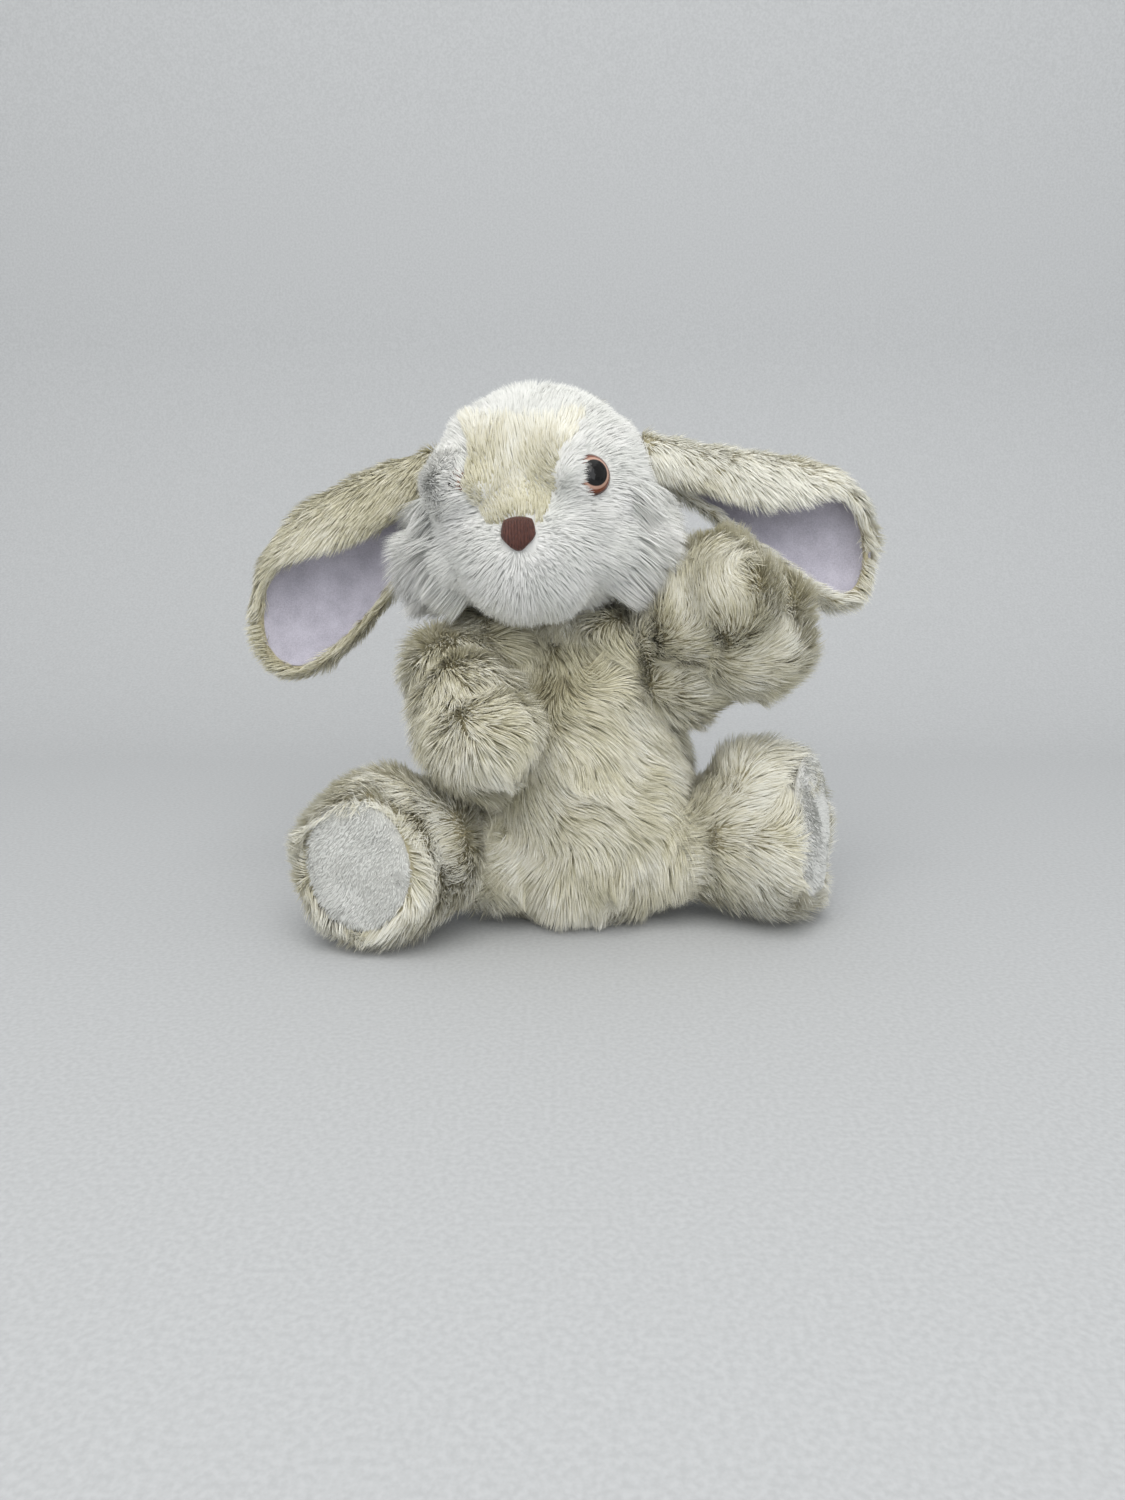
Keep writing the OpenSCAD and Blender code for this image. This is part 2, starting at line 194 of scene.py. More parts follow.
def makeCloths():
    # ear lining: brushed satin with a short nap, lavender-white, cloudy where the nap is stroked; its two tones are
    # painted darker and greyer than the satin, as painted shade for the inside of the ear
    tree, shader = startMaterial("earSatin", "D3D0DC", Roughness=0.6, Sheen_Weight=0.5, Sheen_Roughness=0.4,
                                 Specular_IOR_Level=0.25)
    place = patternPlace(tree)
    clouds = addNode(tree, "ShaderNodeTexNoise", {"Vector": place}, Scale=1 / (9 * mm), Detail=3.0)
    nap = addNode(tree, "ShaderNodeTexNoise", {"Vector": place}, Scale=1 / (0.5 * mm), Detail=3.0)
    mixed = addNode(tree, "ShaderNodeMath", {0: clouds.outputs["Fac"], 1: nap.outputs["Fac"]}, operation="ADD")
    ramp = addNode(tree, "ShaderNodeValToRGB", {"Fac": addNode(
        tree, "ShaderNodeMapRange", {"Value": mixed.outputs[0]}, From_Min=0.7, From_Max=1.3).outputs["Result"]})
    # painted shade: both tones are darker than the lavender-white satin
    ramp.color_ramp.elements[0].color = hexColour("A3A0AC")
    ramp.color_ramp.elements[1].color = hexColour("C4C1CD")
    tree.links.new(ramp.outputs["Color"], shader.inputs["Base Color"])
    bump = addNode(tree, "ShaderNodeBump", {"Height": nap.outputs["Fac"]}, Strength=0.25, Distance=0.3 * mm)
    tree.links.new(bump.outputs["Normal"], shader.inputs["Normal"])

    # sole pad: short dense plush, off-white and mottled where the nap is pressed
    tree, shader = startMaterial("solePlush", "E2E1DE", Roughness=0.9, Sheen_Weight=0.4, Specular_IOR_Level=0.15)
    place = patternPlace(tree)
    mottle = addNode(tree, "ShaderNodeTexNoise", {"Vector": place}, Scale=1 / (2.2 * mm), Detail=4.0)
    ramp = addNode(tree, "ShaderNodeValToRGB", {"Fac": mottle.outputs["Fac"]})
    ramp.color_ramp.elements[0].position = 0.3
    ramp.color_ramp.elements[0].color = hexColour("B9B9B5")
    ramp.color_ramp.elements[1].position = 0.7
    ramp.color_ramp.elements[1].color = hexColour("D0D0CC")
    tree.links.new(ramp.outputs["Color"], shader.inputs["Base Color"])
    bump = addNode(tree, "ShaderNodeBump", {"Height": mottle.outputs["Fac"]}, Strength=0.4, Distance=0.5 * mm)
    tree.links.new(bump.outputs["Normal"], shader.inputs["Normal"])

    # embroidery floss: twisted, slightly silky, red-brown
    tree, shader = startMaterial("noseFloss", "4B1A10", Roughness=0.5, Sheen_Weight=0.2, Specular_IOR_Level=0.4)
    place = patternPlace(tree)
    floss = addNode(tree, "ShaderNodeTexNoise", {"Vector": addNode(
        tree, "ShaderNodeMapping", {"Vector": place}, Scale=(3, 3, 0.5)).outputs["Vector"]},
        Scale=1 / (0.9 * mm), Detail=3.0)
    ramp = addNode(tree, "ShaderNodeValToRGB", {"Fac": floss.outputs["Fac"]})
    ramp.color_ramp.elements[0].position = 0.35
    ramp.color_ramp.elements[0].color = hexColour("34140E")
    ramp.color_ramp.elements[1].position = 0.7
    ramp.color_ramp.elements[1].color = hexColour("5F3326")
    tree.links.new(ramp.outputs["Color"], shader.inputs["Base Color"])
    bump = addNode(tree, "ShaderNodeBump", {"Height": floss.outputs["Fac"]}, Strength=0.5, Distance=0.2 * mm)
    tree.links.new(bump.outputs["Normal"], shader.inputs["Normal"])

    # loose polyester fill, cotton pouch and a pale thread, none of them seen from outside
    for name, colour, grain in (("polyesterFill", "F1F1EE", 3.0), ("pouchCotton", "E6E2D8", 0.8),
                                ("paleThread", "B9B7B0", 0.4)):
        tree, shader = startMaterial(name, colour, Roughness=0.95, Specular_IOR_Level=0.2)
        lumps = addNode(tree, "ShaderNodeTexNoise", {"Vector": patternPlace(tree)}, Scale=1 / (grain * mm), Detail=5.0)
        bump = addNode(tree, "ShaderNodeBump", {"Height": lumps.outputs["Fac"]}, Strength=0.6, Distance=0.5 * mm)
        tree.links.new(bump.outputs["Normal"], shader.inputs["Normal"])

    # felt table cover: pale blue-grey, with a fine mottle of its fibres
    tree, shader = startMaterial("feltFloor", "C3C5C9", Roughness=0.95, Specular_IOR_Level=0.1)
    place = patternPlace(tree)
    fibres = addNode(tree, "ShaderNodeTexNoise", {"Vector": place}, Scale=1 / (1.6 * mm), Detail=4.0)
    ramp = addNode(tree, "ShaderNodeValToRGB", {"Fac": fibres.outputs["Fac"]})
    ramp.color_ramp.elements[0].position = 0.35
    ramp.color_ramp.elements[0].color = hexColour("B9BBBD")
    ramp.color_ramp.elements[1].position = 0.65
    ramp.color_ramp.elements[1].color = hexColour("C3C5C7")
    tree.links.new(ramp.outputs["Color"], shader.inputs["Base Color"])


eyePlan = {"pupil": 4.5, "iris": 5.3, "rim": 6.0}    # radii of the eye's bands


def makeEyes():
    for side in ("left", "right"):
        # moulded acrylic, painted behind a clear dome: black pupil, brown ring, dark edge
        tree, shader = startMaterial(side + "EyeAcrylic", "140C08", Roughness=0.12, Coat_Weight=0.25,
                                     Coat_Roughness=0.04, Specular_IOR_Level=0.3)
        axis = eyeAxis(side)
        offset = addNode(tree, "ShaderNodeVectorMath", {0: patternPlace(tree)}, operation="SUBTRACT")
        offset.inputs[1].default_value = headMiddle
        across = addNode(tree, "ShaderNodeVectorMath", {0: offset.outputs[0]}, operation="CROSS_PRODUCT")
        across.inputs[1].default_value = axis
        away = addNode(tree, "ShaderNodeVectorMath", {0: across.outputs[0]}, operation="LENGTH")
        share = addNode(tree, "ShaderNodeMath", {0: away.outputs["Value"]}, operation="DIVIDE")
        share.inputs[1].default_value = 8 * mm
        ramp = addNode(tree, "ShaderNodeValToRGB", {"Fac": share.outputs[0]})
        bands = ramp.color_ramp
        bands.elements[0].color = hexColour("050404")
        bands.elements[1].color = hexColour("2A130C")
        for spot, tone in ((eyePlan["pupil"] - 0.15, "060505"), (eyePlan["pupil"] + 0.15, "C09A88"),
                           (eyePlan["iris"], "B58F7D"), (eyePlan["iris"] + 0.25, "6E3A28"),
                           (eyePlan["rim"], "7A4330"), (eyePlan["rim"] + 0.5, "4A2518")):
            bands.elements.new(spot / 8).color = hexColour(tone)
        tree.links.new(ramp.outputs["Color"], shader.inputs["Base Color"])
    # washer: translucent white nylon, here opaque, with a faint mould grain
    tree, shader = startMaterial("washerNylon", "DDDCD6", Roughness=0.5)
    grain = addNode(tree, "ShaderNodeTexNoise", {"Vector": patternPlace(tree)}, Scale=1 / (0.6 * mm))
    bump = addNode(tree, "ShaderNodeBump", {"Height": grain.outputs["Fac"]}, Strength=0.2, Distance=0.1 * mm)
    tree.links.new(bump.outputs["Normal"], shader.inputs["Normal"])


def eyeAxis(side):
    turn = math.radians(32) * (1 if side == "left" else -1)
    lift = math.radians(11)
    ahead = Vector((math.sin(turn) * math.cos(lift), -math.cos(turn) * math.cos(lift), math.sin(lift)))
    return headTurn @ ahead


# ---- shapes ----

def newObject(name, bm, mats, smooth=False):
    mesh = bpy.data.meshes.new(name)
    bm.to_mesh(mesh)
    bm.free()
    made = bpy.data.objects.new(name, mesh)
    scene.collection.objects.link(made)
    for m in mats:
        mesh.materials.append(m)
    if smooth:
        mesh.shade_smooth()
    return made


def applied(source, name):
    """evaluate"""
    bpy.context.view_layer.update()
    mesh = bpy.data.meshes.new_from_object(source.evaluated_get(bpy.context.evaluated_depsgraph_get()))
    bpy.data.objects.remove(source)
    made = bpy.data.objects.new(name, mesh)
    scene.collection.objects.link(made)
    return made


def addBall(bm, place, radii, along=None):
    turn = (along.normalized().to_track_quat("Z", "Y").to_matrix().to_4x4() if along else Matrix.Identity(4))
    shape = Matrix.Translation(place) @ turn @ Matrix.Diagonal([r * mm for r in radii] + [1])
    bmesh.ops.create_icosphere(bm, subdivisions=3, radius=1, matrix=shape)


# A closed skin over CAD solids and extra balls: the parts are melted together and smoothed.
def makeSkin(name, nodes, balls, backing, voxel=2.0, rounds=6, floorAt=None):
    bm = bmesh.new()
    for node in nodes:
        solid = frame["nodes"][node]
        before = len(bm.verts)
        bm.from_mesh(solid.data)
        bm.verts.ensure_lookup_table()
        bmesh.ops.transform(bm, matrix=solid.matrix_world, verts=bm.verts[before:])
    bmesh.ops.remove_doubles(bm, verts=bm.verts[:], dist=0.01 * mm)
    for ball in balls:
        addBall(bm, *ball)
    raw = newObject(name + "Raw", bm, [])
    melt = raw.modifiers.new("melt", "REMESH")
    melt.mode = "VOXEL"
    melt.voxel_size = voxel * mm
    skin = applied(raw, name)
    bm = bmesh.new()
    bm.from_mesh(skin.data)
    keepLargest(bm)
    for i in range(rounds):
        bmesh.ops.smooth_vert(bm, verts=bm.verts[:], factor=0.5, use_axis_x=True, use_axis_y=True, use_axis_z=True)
    if floorAt is not None:
        for v in bm.verts:
            v.co.z = max(v.co.z, floorAt * mm)
    bmesh.ops.recalc_face_normals(bm, faces=bm.faces[:])
    bm.to_mesh(skin.data)
    bm.free()
    skin.data.materials.append(materials[backing])
    skin.data.shade_smooth()
    return skin


def keepLargest(bm):
    seen, best = set(), []
    for start in bm.verts:
        if start in seen:
            continue
        island, queue = [], [start]
        seen.add(start)
        while queue:
            v = queue.pop()
            island.append(v)
            for e in v.link_edges:
                other = e.other_vert(v)
                if other not in seen:
                    seen.add(other)
                    queue.append(other)
        if len(island) > len(best):
            best = island
    best = set(best)
    bmesh.ops.delete(bm, geom=[v for v in bm.verts if v not in best], context="VERTS")


# ---- pile ----

def ripple(points, size, seed):
    """Smooth waves from -1 to 1 over points, about size millimetres long, the same on every run."""
    rng = np.random.default_rng(seed)
    total = np.zeros(len(points))
    for _ in range(5):
        way = rng.normal(size=3)
        way /= np.linalg.norm(way)
        total += np.sin(points @ way * (2 * math.pi / (size * mm * rng.uniform(0.7, 1.5))) + rng.uniform(0, 6.28))
    return total / 2.6


def unitRows(v):
    return v / np.maximum(np.linalg.norm(v, axis=1, keepdims=True), 1e-9)


def skinArrays(skin):
    mesh = skin.data
    mesh.calc_loop_triangles()
    spots = np.empty(len(mesh.vertices) * 3)
    mesh.vertices.foreach_get("co", spots)
    ways = np.empty(len(mesh.vertices) * 3)
    mesh.vertices.foreach_get("normal", ways)
    corners = np.empty(len(mesh.loop_triangles) * 3, dtype=np.int32)
    mesh.loop_triangles.foreach_get("vertices", corners)
    return spots.reshape(-1, 3), ways.reshape(-1, 3), corners.reshape(-1, 3)


# Grows pile on a skin as bent, tapered strands in clumps. plan holds:
#   perMm2, length, lift (1 stands straight up), clump (mm between clumps), gather, width, droop
#   where(points, normals): share of the full density; comb(points, normals): which way the pile lies
#   tone(points, normals): added to the tone; longer(points, normals): factor on the length
def growPile(name, skin, pile, plan, seed):
    rng = np.random.default_rng(seed)
    spots, ways, corners = skinArrays(skin)
    a, b, c = (spots[corners[:, i]] for i in range(3))
    area = np.linalg.norm(np.cross(b - a, c - a), axis=1) / 2
    centres = (a + b + c) / 3
    share = plan["where"](centres, ways[corners[:, 0]]) if "where" in plan else np.ones(len(centres))
    weight = area * np.clip(share, 0, 1)
    count = int(weight.sum() / mm ** 2 * plan["perMm2"])
    if count < 3:
        raise SystemExit(name + " grows nowhere")
    picked = rng.choice(len(weight), size=count, p=weight / weight.sum())
    u, v = rng.random(count), rng.random(count)
    over = u + v > 1
    u[over], v[over] = 1 - u[over], 1 - v[over]
    w = 1 - u - v
    root = a[picked] * u[:, None] + b[picked] * v[:, None] + c[picked] * w[:, None]
    up = unitRows(ways[corners[picked, 0]] * u[:, None] + ways[corners[picked, 1]] * v[:, None]
                  + ways[corners[picked, 2]] * w[:, None])
    comb = plan["comb"](root, up)
    swirl = plan.get("swirl", 0.5)
    comb = unitRows(comb) + swirl * np.stack([ripple(root, 28, seed + k) for k in (1, 2, 3)], 1)
    along = unitRows(comb - (comb * up).sum(1)[:, None] * up)
    length = plan["length"] * mm * rng.uniform(0.75, 1.12, count) * (1 + 0.18 * ripple(root, 17, seed + 4))
    if "longer" in plan:
        length *= plan["longer"](root, up)
    lift = np.clip(plan["lift"] + 0.12 * ripple(root, 13, seed + 5) + rng.normal(0, 0.06, count), 0.05, 1)[:, None]
    lean = unitRows(up * lift + along * (1 - lift))
    tip = root + lean * length[:, None]
    tip[:, 2] -= plan.get("droop", 0.08) * length
    # clumps: tips near one another are drawn to a common tip
    leaders = rng.choice(count, size=max(2, int(weight.sum() / mm ** 2 / plan["clump"] ** 2)), replace=False)
    tree = kdtree.KDTree(len(leaders))
    for i, k in enumerate(leaders):
        tree.insert(root[k], i)
    tree.balance()
    near = np.array([tree.find(p)[1] for p in root])
    chief = leaders[near]
    gather = (plan["gather"] * rng.uniform(0.5, 1.0, count))[:, None]
    tip = tip * (1 - gather) + (tip[chief] + (root - root[chief]) * 0.15) * gather
    bend = root + (up * plan.get("rise", 0.5) + along * 0.12) * length[:, None] * 0.55
    root = root - up * 0.4 * mm
    steps = [0.0, 0.36, 0.7, 1.0]
    line = [root * (1 - s) ** 2 + bend * 2 * s * (1 - s) + tip * s * s for s in steps]
    side = np.cross(unitRows(tip - root), up) + rng.normal(0, 0.35, (count, 3))
    side = unitRows(side) * (plan["width"] * mm * rng.uniform(0.7, 1.2, count))[:, None] / 2
    # every strand shows its outer face, or half of them would be shaded from behind
    side *= np.where((np.cross(side, tip - root) * up).sum(1) < 0, -1, 1)[:, None]
    if plan.get("short"):
        line = [line[0], root * 0.25 + bend * 0.5 + tip * 0.25, tip]
        girths, shades = (1.0, 0.8), (1.6, 2.6)
    else:
        girths, shades = (1.0, 0.9, 0.55), (1.1, 2.0, 2.8)
    rows, corner = len(girths), 2 * len(girths) + 1
    points = np.empty((count, corner, 3))
    for k, girth in enumerate(girths):
        points[:, 2 * k] = line[k] - side * girth
        points[:, 2 * k + 1] = line[k] + side * girth
    points[:, -1] = line[-1]
    if plan.get("floor", True):
        points[:, :, 2] = np.maximum(points[:, :, 2], 0.3 * mm)
    base = np.arange(count)[:, None] * corner
    order = [n for k in range(rows - 1) for n in (2 * k, 2 * k + 1, 2 * k + 3, 2 * k + 2)]
    order += [corner - 3, corner - 2, corner - 1]
    loops = (base + np.array(order)).ravel()
    sizes = np.tile([4] * (rows - 1) + [3], count)
    mesh = bpy.data.meshes.new(name)
    mesh.vertices.add(count * corner)
    mesh.vertices.foreach_set("co", points.ravel())
    mesh.loops.add(len(loops))
    mesh.loops.foreach_set("vertex_index", loops.astype(np.int32))
    mesh.polygons.add(count * rows)
    mesh.polygons.foreach_set("loop_start", (np.cumsum(sizes) - sizes).astype(np.int32))
    # tones: darker at the root, lighter at the tip, with patches and single strands that differ
    patch = 0.6 * ripple(line[0], 20, seed + 6) + 0.3 * ripple(line[0], 6, seed + 7) + rng.normal(0, 0.4, count)
    patch = patch + (plan["tone"](line[0], up) if "tone" in plan else 0)
    tones = np.clip(np.round(patch[:, None] + np.array(shades)), 0, 4).astype(np.int32)
    mesh.polygons.foreach_set("material_index", tones.ravel())
    for i in range(5):
        mesh.materials.append(materials[pile + str(i)])
    mesh.update(calc_edges=True)
    mesh.shade_smooth()
    facing = np.cross(line[-1] - line[0], side)
    facing = unitRows(facing * np.sign((facing * up).sum(1))[:, None])
    soft = unitRows(facing * 0.6 + up * 0.7)
    mesh.normals_split_custom_set_from_vertices(np.repeat(soft, corner, axis=0).tolist())
    made = bpy.data.objects.new(name, mesh)
    scene.collection.objects.link(made)
    print(name, count, "strands")
    return made


def steady(x, y, z):
    way = np.array([x, y, z], float)
    return lambda points, normals: np.tile(way, (len(points), 1))


def away(centre, *way):
    """Away from a point, plus a steady way."""
    return lambda points, normals: unitRows(points - np.array(centre)) + np.array(way or (0, 0, 0), float)


def finish(piece, body, nodes=()):
    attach(piece, body)
    if nodes:
        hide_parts(*nodes)
    return piece


# ---- torso ----

def bellyComb(p, n):
    # stroked down the sides and across the belly towards the left
    q = (p - np.array(neck)) / mm
    middleBand = np.exp(-((q[:, 2] + 50) / 20) ** 2)
    return np.stack([0.1 + 0.9 * middleBand, np.full(len(q), -0.1), -1 + 0.5 * middleBand], 1)


paintedShadeUnderChin = neck + Vector((2, -26, -12)) * mm        # painted shade: the pile is darkened in this hollow under the chin, where the chin's shadow falls
torsoPlan = {
    "fur": {"perMm2": 3.0, "length": 11, "lift": 0.42, "clump": 3.6, "gather": 0.34, "width": 0.44,
            "droop": 0.06, "swirl": 0.8, "comb": bellyComb,
            "longer": lambda p, n: np.clip(0.45 + p[:, 2] / (30 * mm), 0.45, 1),
            # painted shade: the pile's tone is lowered around the hollow under the chin
            "tone": lambda p, n: -1.6 * np.exp(-(np.linalg.norm(p - np.array(paintedShadeUnderChin), axis=1) / (20 * mm)) ** 2)},
}


def buildTorso():
    balls = [(shoulders["left"] + Vector((-4, 2, -4)) * mm, (14, 14, 14)),
             (shoulders["right"] + Vector((6, 2, -4)) * mm, (14, 14, 14)),
             (hips["left"] + Vector((-10, 0, 2)) * mm, (20, 20, 20)),
             (hips["right"] + Vector((8, 2, 2)) * mm, (20, 20, 20)),
             (neck + Vector((2, 0, -4)) * mm, (19, 18, 14)),
             (neck + Vector((2, -10, -15)) * mm, (24, 15, 15)),
             (neck + Vector((22, -8, -7)) * mm, (15, 15, 15)),
             (neck + Vector((-20, -8, -7)) * mm, (15, 15, 15))]
    skin = makeSkin("torsoSkin", ["belly_panel", "left_back_panel", "right_back_panel", "torso_stuffing",
                                  "pellet_pouch"], balls, "beigeBacking", floorAt=0.4)
    finish(skin, "torso", ["belly_panel", "left_back_panel", "right_back_panel"])
    for name, low, high, seed in (("bellyFur", -1, -0.012, 11), ("flankFur", -0.012, 0.012, 17),
                                  ("backFur", 0.012, 1, 23)):
        plan = dict(torsoPlan["fur"], where=lambda p, n, a=low, b=high:
                    ((p[:, 1] >= a) & (p[:, 1] < b)) * np.clip(1.2 + n[:, 2] * 0.9, 0.15, 1))
        finish(growPile(name, skin, "beigePile", plan, seed), "torso")


# ---- neck ----

neckPlan = {"radii": (20, 19, 13), "fur": {"perMm2": 3.0, "length": 8, "lift": 0.4, "clump": 3.8, "gather": 0.35,
                                           "width": 0.46, "comb": steady(0, -0.2, -1)}}


def buildNeck():
    skin = makeSkin("neckSkin", ["neck_stuffing"], [(neck, neckPlan["radii"])], "beigeBacking")
    finish(skin, "neck", ["neck_stuffing"])
    finish(growPile("neckFur", skin, "beigePile", neckPlan["fur"], 29), "neck")


# ---- head ----

def headFrame(points):
    """Points in the head's own turned frame, in millimetres."""
    return (points - np.array(headMiddle)) @ np.array(headTurn) / mm


def inGusset(p):
    q = headFrame(p)
    half = 8.5 + 0.38 * np.maximum(q[:, 2] + 4, 0) + 1.4 * ripple(p, 9, 5)
    half = half + np.where(q[:, 0] < 0, 6 * np.exp(-((q[:, 2] - 5) / 9) ** 2), 0)
    return (np.abs(q[:, 0]) < half) & (q[:, 2] > -6) & (q[:, 2] < 29 + 3 * ripple(p, 12, 6)) & (q[:, 1] < 0)


# How far each point is from an eye's rim, in millimetres.
def fromEye(p, side):
    axis = np.array(eyeAxis(side))
    outward = np.array(headTurn @ Vector((1 if side == "left" else -1, 0.6, 0.3)))
    away = (p - np.array(headMiddle)) / mm - outward * headPlan["lidShift"]
    return np.linalg.norm(np.cross(away, axis), axis=1) + 100 * (away @ axis < 0)


def inEye(p):
    return (fromEye(p, "left") < headPlan["clearLeft"]) | (fromEye(p, "right") < headPlan["clearRight"])


def onNose(p):
    q = headFrame(p)
    return (np.abs(q[:, 0]) < 5.0) & (np.abs(q[:, 2] + 9) < 4.9) & (q[:, 1] < -20)


def faceComb(p, n):
    q = headFrame(p)
    out = np.stack([q[:, 0] * 1.0, np.full(len(q), 6.0), (q[:, 2] + 12) * 0.8], 1)
    out = unitRows(out) + np.array([0, 0.15, -0.35])
    return out @ np.array(headTurn).T


def gussetComb(p, n):
    return np.tile(np.array(headTurn @ Vector((0, 0.6, 0.9))), (len(p), 1))


headPlan = {
    "clearLeft": 6.4, "clearRight": 4.0, "lidShift": 1.2,    # pile grows over the inner side of the eyes
    "lid": {"perMm2": 8.0, "length": 8.5, "lift": 0.5, "clump": 3.0, "gather": 0.3, "width": 0.42,
            "swirl": 0.1, "droop": 0.0, "floor": False},
    "brows": (("left", (-1, -0.45, 0.1), 9.0, 44.5, 6.5), ("left", (-1, -0.45, 1), 10.5, 42.5, 6.5),
              ("left", (-1, -0.45, -0.8), 10.5, 42.5, 6.0),
              ("right", (-1, 0.6, 0.1), 3.2, 43.2, 9.3), ("right", (-0.6, 0.3, 1), 7.0, 39.5, 7.5),
              ("right", (-0.6, 0.3, -1), 7.0, 40.5, 7.5), ("right", (1, -0.6, -0.2), 11.0, 43.0, 6.0)),
    "face": {"perMm2": 3.6, "length": 5.0, "lift": 0.5, "clump": 2.6, "gather": 0.22, "width": 0.46,
             "swirl": 0.3, "comb": faceComb, "floor": False, "short": True},
    "gusset": {"perMm2": 3.6, "length": 5.6, "lift": 0.45, "clump": 3.0, "gather": 0.3, "width": 0.46,
               "swirl": 0.45, "comb": gussetComb, "floor": False, "short": True},
    "back": {"perMm2": 2.6, "length": 8, "lift": 0.4, "clump": 3.6, "gather": 0.35, "width": 0.46,
             "swirl": 0.5, "comb": steady(0, 0.5, -1), "floor": False},
    "ruff": {"perMm2": 8.5, "length": 15, "lift": 0.5, "clump": 3.2, "gather": 0.38, "width": 0.44,
             "swirl": 0.12, "droop": 0.02, "floor": False},
}


def buildHead():
    balls = [(headMiddle + headTurn @ Vector((s * 21, -15, -15)) * mm, (19, 20, 16)) for s in (-1, 1)]
    balls += [(headMiddle + headTurn @ Vector((s * 9, -33, -15)) * mm, (13, 15, 11)) for s in (-1, 1)]
    balls += [(headMiddle + headTurn @ Vector((s * 30, -11, -14)) * mm, (15, 13, 16)) for s in (-1, 1)]
    # the face is fuller beside the eyes, and covers the inner part of the left one and most of the right
    for side, way, offset, out, radius in headPlan["brows"]:
        balls.append((headMiddle + (eyeAxis(side) * out + headTurn @ Vector(way).normalized() * offset) * mm,
                      (radius, radius, radius)))
    skin = makeSkin("headSkin", ["forehead_gusset", "left_face_panel", "right_face_panel", "chin_panel",
                                 "head_back_panel", "muzzle_cover", "muzzle_stuffing", "head_stuffing"],
                    balls, "whiteBacking", rounds=5)
    finish(skin, "head", ["forehead_gusset", "left_face_panel", "right_face_panel", "chin_panel",
                                         "head_back_panel", "muzzle_cover"])
    clear = lambda p: ~inEye(p) & ~onNose(p)
    front = lambda p: headFrame(p)[:, 1] < 9
    face = dict(headPlan["face"], where=lambda p, n: 1.0 * (clear(p) & front(p) & ~inGusset(p)))

    # painted shade: the white pile is darkened towards the top of the head, to temper the light that falls there from
    # above
    face["tone"] = lambda p, n: -0.9 * np.clip((headFrame(p)[:, 2] - 18) / 14, 0, 1)

    def faceLength(p, n):
        fromNose = np.linalg.norm(headFrame(p) - np.array([0, -48, -9]), axis=1)
        byEye = np.clip((np.minimum(fromEye(p, "left"), fromEye(p, "right") + 5) - 5.5) / 7, 0.3, 1)
        return np.clip(0.5 + fromNose / 42, 0.5, 1.15) * byEye

    face["longer"] = faceLength
    finish(growPile("faceFur", skin, "whitePile", face, 31), "head")
    gusset = dict(headPlan["gusset"], where=lambda p, n: 1.0 * (clear(p) & inGusset(p)),
                  tone=lambda p, n: np.clip((headFrame(p)[:, 2] - 14) / 14, 0, 1) * 1.2)
    gusset["longer"] = lambda p, n: np.clip(0.55 + np.abs(headFrame(p)[:, 2] - 4) / 22, 0.55, 1.3)
    finish(growPile("gussetFur", skin, "beigePile", gusset, 37), "head")
    # pile from the outer side hangs over the right eye, so that only a slit shows, and pile from
    # the nose side covers the inner part of the left one
    for side, way, start, length in (("right", (1, -0.4, -0.3), -2.0, 6.0), ("left", (1, 0.45, 0.1), -4.0, 5.0)):
        way = np.array(headTurn @ Vector(way).normalized())
        eye = np.array(headMiddle) + 44 * mm * np.array(eyeAxis(side))
        lid = dict(headPlan["lid"], comb=steady(*way), length=length, tone=lambda p, n: 0.6,
                   where=lambda p, n, side=side, way=way, eye=eye, start=start: 1.0 * (
                       (fromEye(p, side) < 10.5) & ((p - eye) @ way / mm < start)))
        finish(growPile(side + "LidFur", skin, "whitePile", lid, 39), "head")
    back = dict(headPlan["back"], where=lambda p, n: 1.0 * ~front(p))
    finish(growPile("headBackFur", skin, "creamPile", back, 41), "head")
    for side, s in (("left", 1), ("right", -1)):
        def ruffWhere(p, n, s=s):
            q = headFrame(p)
            round_ = np.degrees(np.arctan2(q[:, 0] * s, q[:, 2]))
            return 1.0 * ((round_ > 80) & (round_ < 142) & (q[:, 1] > -27) & (q[:, 1] < 0))
        def ruffComb(p, n, s=s):
            q = headFrame(p)
            out = np.stack([np.full(len(q), s * 1.0), np.full(len(q), -0.1), -0.8 + 0.01 * q[:, 2]], 1)
            return out @ np.array(headTurn).T
        ruff = dict(headPlan["ruff"], where=ruffWhere, comb=ruffComb)
        finish(growPile(side + "RuffFur", skin, "whitePile", ruff, 43 + s), "head",
               [side + "_cheek_ruff"])
    buildNose()


nosePlan = {"width": 11.4, "height": 10.8, "stitch": 0.95, "rise": 1.5}


